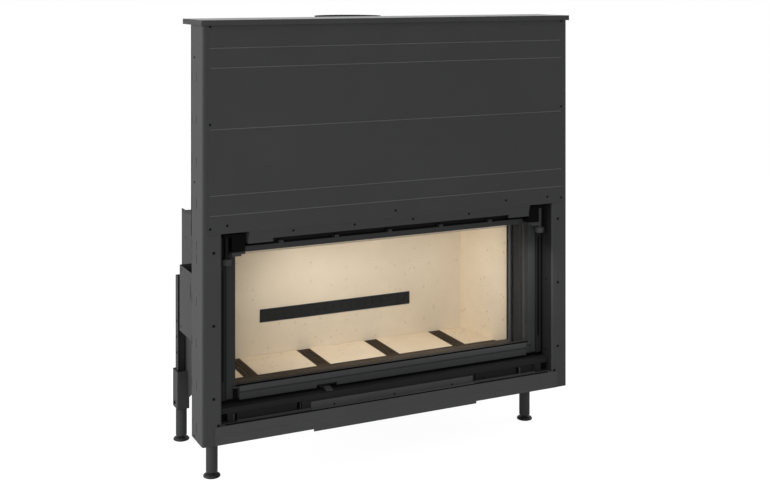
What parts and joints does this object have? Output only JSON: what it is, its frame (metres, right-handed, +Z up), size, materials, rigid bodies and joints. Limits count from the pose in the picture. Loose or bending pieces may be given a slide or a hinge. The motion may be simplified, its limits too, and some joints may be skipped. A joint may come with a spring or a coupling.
{
  "type": "fireplace firebox",
  "caption": "Built-in wood-burning firebox with a counterweighted lift-up glass door, tall folded-steel casing, fireclay-lined chamber, smoke dome and levelling legs.",
  "frame": {"origin": "centre of the overall footprint, at floor level under the feet", "axes": "+Z up; the door faces -Y; +X is to the right seen from the front"},
  "size_m": [1.59, 0.675, 1.733],
  "materials": {
    "side_casing_left": "dark grey fine-texture powder coat on folded sheet steel",
    "side_casing_right": "dark grey fine-texture powder coat on folded sheet steel",
    "upper_front_panel": "dark grey fine-texture powder coat on folded sheet steel",
    "head_plate": "dark grey fine-texture powder coat on folded sheet steel",
    "lower_front_rail": "dark grey fine-texture powder coat on folded sheet steel",
    "top_cap": "dark grey fine-texture powder coat on folded sheet steel",
    "casing_rear_plate": "matt black heat-resistant paint on sheet steel",
    "front_frame": "matt black heat-resistant paint on sheet steel",
    "firebox_shell": "matt black heat-resistant paint on sheet steel",
    "smoke_dome": "matt black heat-resistant paint on sheet steel",
    "flue_collar": "matt black heat-resistant paint on sheet steel",
    "lining_left": "cream refractory (fireclay) slab, matt and faintly mottled",
    "lining_right": "cream refractory (fireclay) slab, matt and faintly mottled",
    "lining_back": "cream refractory (fireclay) slab, matt and faintly mottled",
    "air_jet_strip": "matt black heat-resistant paint on sheet steel",
    "floor_air_grate": "dark brown cast iron, finely ribbed lengthwise",
    "floor_tile_1": "cream refractory (fireclay) slab, matt and faintly mottled",
    "floor_tile_2": "cream refractory (fireclay) slab, matt and faintly mottled",
    "floor_tile_3": "cream refractory (fireclay) slab, matt and faintly mottled",
    "floor_tile_4": "cream refractory (fireclay) slab, matt and faintly mottled",
    "floor_tile_5": "cream refractory (fireclay) slab, matt and faintly mottled",
    "lining_lintel": "cream refractory (fireclay) slab, matt and faintly mottled",
    "smoke_baffle": "cream refractory (fireclay) slab, matt and faintly mottled",
    "convection_jacket": "dark grey fine-texture powder coat on folded sheet steel",
    "side_air_box_left": "dark grey fine-texture powder coat on folded sheet steel",
    "side_air_box_right": "dark grey fine-texture powder coat on folded sheet steel",
    "base_frame": "matt black heat-resistant paint on sheet steel",
    "rear_leg_bracket_left": "dark grey fine-texture powder coat on folded sheet steel",
    "rear_leg_bracket_right": "dark grey fine-texture powder coat on folded sheet steel",
    "leg_tube_front_left": "dark grey fine-texture powder coat on folded sheet steel",
    "leg_tube_front_right": "dark grey fine-texture powder coat on folded sheet steel",
    "leg_tube_rear_left": "dark grey fine-texture powder coat on folded sheet steel",
    "leg_tube_rear_right": "dark grey fine-texture powder coat on folded sheet steel",
    "foot_front_left": "matt black heat-resistant paint on sheet steel",
    "foot_front_right": "matt black heat-resistant paint on sheet steel",
    "foot_rear_left": "matt black heat-resistant paint on sheet steel",
    "foot_rear_right": "matt black heat-resistant paint on sheet steel",
    "air_box": "dark grey fine-texture powder coat on folded sheet steel",
    "air_box_cover": "dark grey fine-texture powder coat on folded sheet steel",
    "air_lever": "blue-grey heat-resistant paint",
    "guide_rail_left": "matt black heat-resistant paint on sheet steel",
    "guide_rail_right": "matt black heat-resistant paint on sheet steel",
    "pulley_bracket_left": "matt black heat-resistant paint on sheet steel",
    "pulley_bracket_right": "matt black heat-resistant paint on sheet steel",
    "pulley_left": "plain mill-finish steel",
    "pulley_right": "plain mill-finish steel",
    "counterweight_left": "plain mill-finish steel",
    "counterweight_right": "plain mill-finish steel",
    "lift_rope_left": "plain mill-finish steel",
    "lift_rope_right": "plain mill-finish steel",
    "door_carriage": "matt black heat-resistant paint on sheet steel",
    "door_leaf_frame": "blue-grey heat-resistant paint",
    "door_glass": "clear heat-resistant ceramic glass",
    "glass_retainer": "matt black heat-resistant paint on sheet steel",
    "door_seal": "glass-fibre sealing rope",
    "door_bottom_rail": "blue-grey heat-resistant paint",
    "corner_block_left": "matt black heat-resistant paint on sheet steel",
    "corner_block_right": "matt black heat-resistant paint on sheet steel",
    "latch_pin_left": "zinc-plated turned steel with a knurled rim",
    "latch_pin_right": "zinc-plated turned steel with a knurled rim"
  },
  "bodies": {
    "insert": {"side_casing_left": "side_casing_left", "side_casing_right": "side_casing_right", "upper_front_panel": "upper_front_panel", "head_plate": "head_plate", "lower_front_rail": "lower_front_rail", "top_cap": "top_cap", "casing_rear_plate": "casing_rear_plate", "front_frame": "front_frame", "firebox_shell": "firebox_shell", "smoke_dome": "smoke_dome", "flue_collar": "flue_collar", "lining_left": "lining_left", "lining_right": "lining_right", "lining_back": "lining_back", "air_jet_strip": "air_jet_strip", "floor_air_grate": "floor_air_grate", "floor_tile_1": "floor_tile_1", "floor_tile_2": "floor_tile_2", "floor_tile_3": "floor_tile_3", "floor_tile_4": "floor_tile_4", "floor_tile_5": "floor_tile_5", "lining_lintel": "lining_lintel", "smoke_baffle": "smoke_baffle", "convection_jacket": "convection_jacket", "side_air_box_left": "side_air_box_left", "side_air_box_right": "side_air_box_right", "base_frame": "base_frame", "rear_leg_bracket_left": "rear_leg_bracket_left", "rear_leg_bracket_right": "rear_leg_bracket_right", "leg_tube_front_left": "leg_tube_front_left", "leg_tube_front_right": "leg_tube_front_right", "leg_tube_rear_left": "leg_tube_rear_left", "leg_tube_rear_right": "leg_tube_rear_right", "air_box": "air_box", "air_box_cover": "air_box_cover", "guide_rail_left": "guide_rail_left", "guide_rail_right": "guide_rail_right", "pulley_bracket_left": "pulley_bracket_left", "pulley_bracket_right": "pulley_bracket_right", "lift_rope_left": "lift_rope_left", "lift_rope_right": "lift_rope_right"},
    "carriage": {"door_carriage": "door_carriage"},
    "door_leaf": {"door_leaf_frame": "door_leaf_frame", "door_glass": "door_glass", "glass_retainer": "glass_retainer", "door_seal": "door_seal", "door_bottom_rail": "door_bottom_rail", "corner_block_left": "corner_block_left", "corner_block_right": "corner_block_right"},
    "latch_left": {"latch_pin_left": "latch_pin_left"},
    "latch_right": {"latch_pin_right": "latch_pin_right"},
    "air_control": {"air_lever": "air_lever"},
    "weight_left": {"counterweight_left": "counterweight_left"},
    "weight_right": {"counterweight_right": "counterweight_right"},
    "wheel_left": {"pulley_left": "pulley_left"},
    "wheel_right": {"pulley_right": "pulley_right"},
    "level_front_left": {"foot_front_left": "foot_front_left"},
    "level_front_right": {"foot_front_right": "foot_front_right"},
    "level_rear_left": {"foot_rear_left": "foot_rear_left"},
    "level_rear_right": {"foot_rear_right": "foot_rear_right"}
  },
  "joints": [
    {"name": "door_lift", "type": "slide", "parent": "insert", "child": "carriage", "axis": [0, 0, 1], "range_m": [0, 0.5], "deforming": ["lift_rope_left", "lift_rope_right"]},
    {"name": "door_tilt", "type": "hinge", "parent": "carriage", "child": "door_leaf", "pos_m": [0, -0.2515, 0.334], "axis": [-1, 0, 0], "range_deg": [-30, 0]},
    {"name": "latch_turn_left", "type": "hinge", "parent": "door_leaf", "child": "latch_left", "pos_m": [-0.683, -0.2835, 0.826], "axis": [0, 0, 1], "range_deg": [-180, 0]},
    {"name": "latch_turn_right", "type": "hinge", "parent": "door_leaf", "child": "latch_right", "pos_m": [0.683, -0.2835, 0.826], "axis": [0, 0, 1], "range_deg": [-180, 0]},
    {"name": "air_slide", "type": "slide", "parent": "insert", "child": "air_control", "axis": [1, 0, 0], "range_m": [-0.026, 0.026]},
    {"name": "weight_slide_left", "type": "slide", "parent": "insert", "child": "weight_left", "axis": [0, 0, 1], "range_m": [-0.5, 0]},
    {"name": "weight_slide_right", "type": "slide", "parent": "insert", "child": "weight_right", "axis": [0, 0, 1], "range_m": [-0.5, 0]},
    {"name": "pulley_spin_left", "type": "hinge", "parent": "insert", "child": "wheel_left", "pos_m": [-0.72125, -0.2445, 1.6297], "axis": [0, 1, 0], "range_deg": [-956, 0]},
    {"name": "pulley_spin_right", "type": "hinge", "parent": "insert", "child": "wheel_right", "pos_m": [0.72125, -0.2445, 1.6297], "axis": [0, 1, 0], "range_deg": [0, 956]},
    {"name": "foot_screw_front_left", "type": "slide", "parent": "insert", "child": "level_front_left", "axis": [0, 0, -1], "range_m": [0, 0.045]},
    {"name": "foot_screw_front_right", "type": "slide", "parent": "insert", "child": "level_front_right", "axis": [0, 0, -1], "range_m": [0, 0.045]},
    {"name": "foot_screw_rear_left", "type": "slide", "parent": "insert", "child": "level_rear_left", "axis": [0, 0, -1], "range_m": [0, 0.045]},
    {"name": "foot_screw_rear_right", "type": "slide", "parent": "insert", "child": "level_rear_right", "axis": [0, 0, -1], "range_m": [0, 0.045]}
  ],
  "couplings": [
    {"joint": "weight_slide_left", "follows": "door_lift", "ratio": -1},
    {"joint": "weight_slide_right", "follows": "door_lift", "ratio": -1},
    {"joint": "pulley_spin_left", "follows": "door_lift", "rad_per_m": -33.333},
    {"joint": "pulley_spin_right", "follows": "door_lift", "rad_per_m": 33.333}
  ]
}
